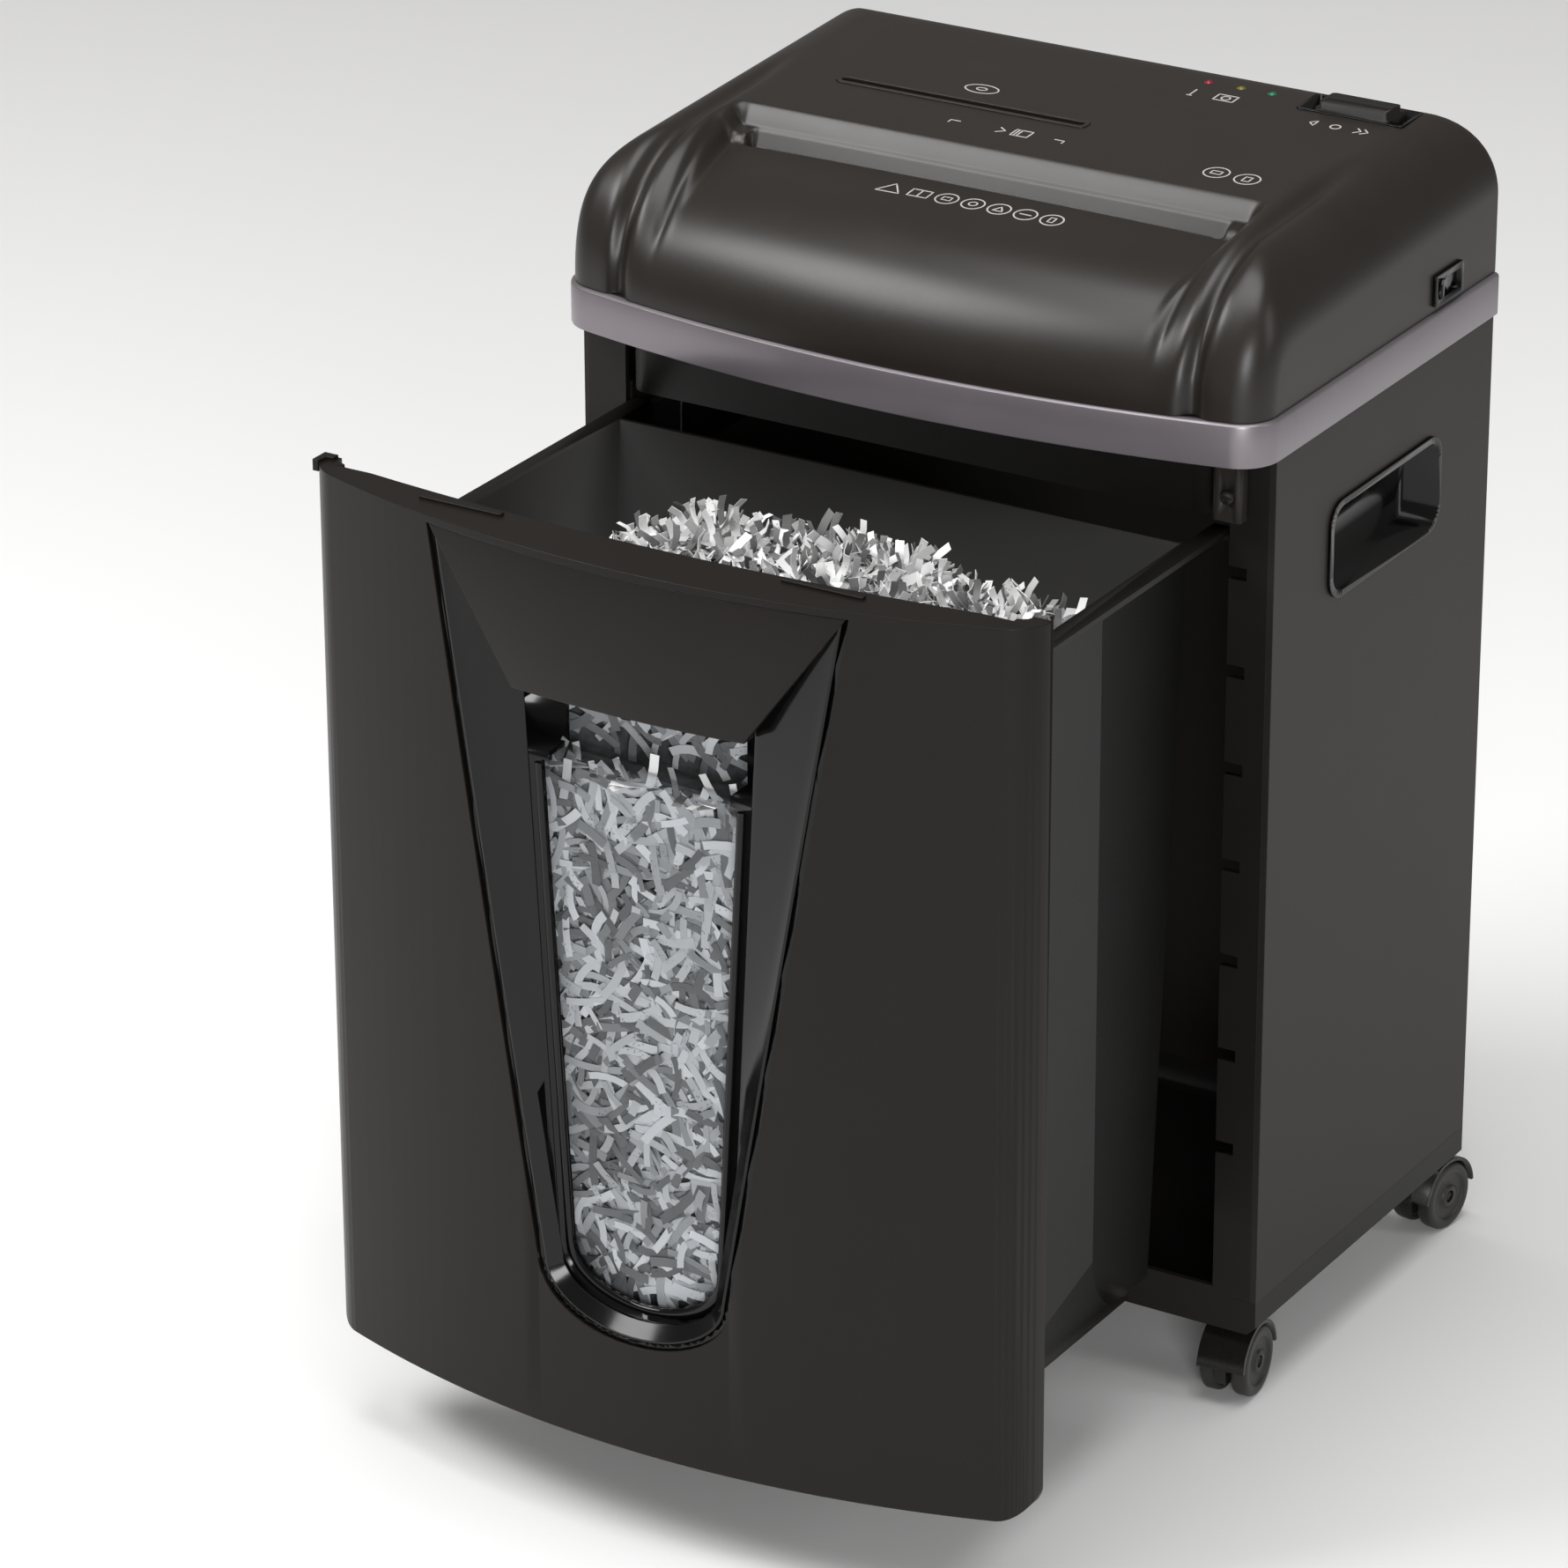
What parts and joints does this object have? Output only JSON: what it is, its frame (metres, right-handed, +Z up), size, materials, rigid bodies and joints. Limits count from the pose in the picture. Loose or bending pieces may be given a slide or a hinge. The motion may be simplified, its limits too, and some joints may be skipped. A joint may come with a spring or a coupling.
{
  "type": "paper shredder",
  "caption": "Deskside paper shredder on swivel casters: bowed cutter head over a cabinet, with a pull-out bin behind a bowed front panel and a tapered window.",
  "frame": {"origin": "on the floor, at the middle of the box round the whole object with its bin pulled out", "axes": "+X to the right as seen from the front, +Y to the back, +Z up"},
  "size_m": [0.3667, 0.4835, 0.571],
  "materials": {
    "textured_charcoal": "fine textured satin",
    "frame_black": "satin moulded",
    "gloss_black": "polished",
    "band_grey": "satin metallic paint",
    "bin_black": "satin moulded",
    "window_clear": "clear polished",
    "red_lens": "translucent gloss",
    "amber_lens": "translucent gloss",
    "green_lens": "translucent gloss",
    "circuit_board": "solder masked",
    "steel": "machined",
    "bush_bronze": "sintered",
    "pale_nylon": "moulded",
    "caster_black": "moulded",
    "caster_tread": "moulded tread"
  },
  "bodies": {
    "cabinet": {"left_side_panel": "textured_charcoal", "right_side_panel": "textured_charcoal", "back_panel": "textured_charcoal", "top_cover": "textured_charcoal", "interlock_housing": "textured_charcoal", "base_tray": "frame_black", "left_stile": "frame_black", "right_stile": "frame_black", "left_guide_rail": "frame_black", "right_guide_rail": "frame_black", "front_comb": "frame_black", "rear_comb": "frame_black", "gearbox_cover": "frame_black", "head_chassis": "frame_black", "left_handle_cup": "gloss_black", "right_handle_cup": "gloss_black", "entry_throat": "gloss_black", "disc_slot_guide": "gloss_black", "slider_pocket": "gloss_black", "power_switch_body": "gloss_black", "cord_gland": "gloss_black", "trim_band": "band_grey", "red_status_light": "red_lens", "amber_status_light": "amber_lens", "green_status_light": "green_lens", "control_board": "circuit_board", "caster_sockets": "steel", "left_cutter_plate": "steel", "right_cutter_plate": "steel", "tie_rods": "steel", "motor_can": "steel", "reduction_gear_pin": "steel", "housing_screws": "steel", "shaft_bushes": "bush_bronze"},
    "bin": {"bin_box": "bin_black", "front_fascia": "bin_black", "recess_surround": "gloss_black", "window_lens": "window_clear", "pull_handle": "bin_black"},
    "control_slider": {"control_slider": "bin_black"},
    "power_rocker": {"power_rocker": "bin_black"},
    "start_lever": {"start_lever": "pale_nylon"},
    "safety_plunger": {"safety_plunger": "pale_nylon"},
    "front_cutter_shaft": {"front_cutter": "steel", "front_cutter_gear": "pale_nylon"},
    "rear_cutter_shaft": {"rear_cutter": "steel", "rear_cutter_gear": "pale_nylon"},
    "reduction_gear": {"reduction_gear": "pale_nylon"},
    "motor_rotor": {"motor_rotor": "steel"},
    "front_left_fork": {"front_left_caster_fork": "caster_black"},
    "front_left_wheels": {"front_left_caster_wheels": "caster_tread"},
    "front_right_fork": {"front_right_caster_fork": "caster_black"},
    "front_right_wheels": {"front_right_caster_wheels": "caster_tread"},
    "rear_left_fork": {"rear_left_caster_fork": "caster_black"},
    "rear_left_wheels": {"rear_left_caster_wheels": "caster_tread"},
    "rear_right_fork": {"rear_right_caster_fork": "caster_black"},
    "rear_right_wheels": {"rear_right_caster_wheels": "caster_tread"}
  },
  "joints": [
    {"name": "bin_slide", "type": "slide", "parent": "cabinet", "child": "bin", "axis": [0, 1, 0], "range_m": [0, 0.202]},
    {"name": "control_slide", "type": "slide", "parent": "cabinet", "child": "control_slider", "axis": [1, 0, 0], "range_m": [-0.006, 0.006]},
    {"name": "rocker_tilt", "type": "hinge", "parent": "cabinet", "child": "power_rocker", "pos_m": [0.176, 0.17118, 0.503], "axis": [0, 0, 1], "range_deg": [-16, 0]},
    {"name": "start_lever_tilt", "type": "hinge", "parent": "cabinet", "child": "start_lever", "pos_m": [0, 0.08618, 0.523], "axis": [1, 0, 0], "range_deg": [0, 12], "stiffness_Nm_per_rad": 0.01, "springref_deg": -11.46},
    {"name": "plunger_slide", "type": "slide", "parent": "cabinet", "child": "safety_plunger", "axis": [0, 1, 0], "range_m": [0, 0.002], "stiffness_N_per_m": 100, "springref_m": -0.002},
    {"name": "front_cutter_spin", "type": "hinge", "parent": "cabinet", "child": "front_cutter_shaft", "pos_m": [0.13, 0.04818, 0.494], "axis": [1, 0, 0], "continuous": true},
    {"name": "rear_cutter_spin", "type": "hinge", "parent": "cabinet", "child": "rear_cutter_shaft", "pos_m": [0.13, 0.08218, 0.494], "axis": [1, 0, 0], "continuous": true},
    {"name": "reduction_spin", "type": "hinge", "parent": "cabinet", "child": "reduction_gear", "pos_m": [0.13, 0.11074, 0.48896], "axis": [1, 0, 0], "continuous": true},
    {"name": "motor_spin", "type": "hinge", "parent": "cabinet", "child": "motor_rotor", "pos_m": [0.13, 0.14441, 0.48423], "axis": [1, 0, 0], "continuous": true},
    {"name": "front_left_swivel", "type": "hinge", "parent": "cabinet", "child": "front_left_fork", "pos_m": [-0.162, 0.04018, 0.046], "axis": [0, 0, 1], "continuous": true},
    {"name": "front_left_roll", "type": "hinge", "parent": "front_left_fork", "child": "front_left_wheels", "pos_m": [-0.16495, 0.02344, 0.017], "axis": [-0.9848, 0.1736, 0], "continuous": true},
    {"name": "front_right_swivel", "type": "hinge", "parent": "cabinet", "child": "front_right_fork", "pos_m": [0.162, 0.04018, 0.046], "axis": [0, 0, 1], "continuous": true},
    {"name": "front_right_roll", "type": "hinge", "parent": "front_right_fork", "child": "front_right_wheels", "pos_m": [0.16348, 0.02324, 0.017], "axis": [-0.9962, -0.0872, 0], "continuous": true},
    {"name": "rear_left_swivel", "type": "hinge", "parent": "cabinet", "child": "rear_left_fork", "pos_m": [-0.162, 0.20318, 0.046], "axis": [0, 0, 1], "continuous": true},
    {"name": "rear_left_roll", "type": "hinge", "parent": "rear_left_fork", "child": "rear_left_wheels", "pos_m": [-0.16553, 0.21981, 0.017], "axis": [0.9781, 0.2079, 0], "continuous": true},
    {"name": "rear_right_swivel", "type": "hinge", "parent": "cabinet", "child": "rear_right_fork", "pos_m": [0.162, 0.20318, 0.046], "axis": [0, 0, 1], "continuous": true},
    {"name": "rear_right_roll", "type": "hinge", "parent": "rear_right_fork", "child": "rear_right_wheels", "pos_m": [0.16437, 0.22001, 0.017], "axis": [0.9903, -0.1392, 0], "continuous": true}
  ],
  "couplings": [
    {"joint": "rear_cutter_spin", "follows": "front_cutter_spin", "ratio": -1},
    {"joint": "reduction_spin", "follows": "front_cutter_spin", "ratio": 1.4167},
    {"joint": "motor_spin", "follows": "front_cutter_spin", "ratio": -6.6111}
  ]
}
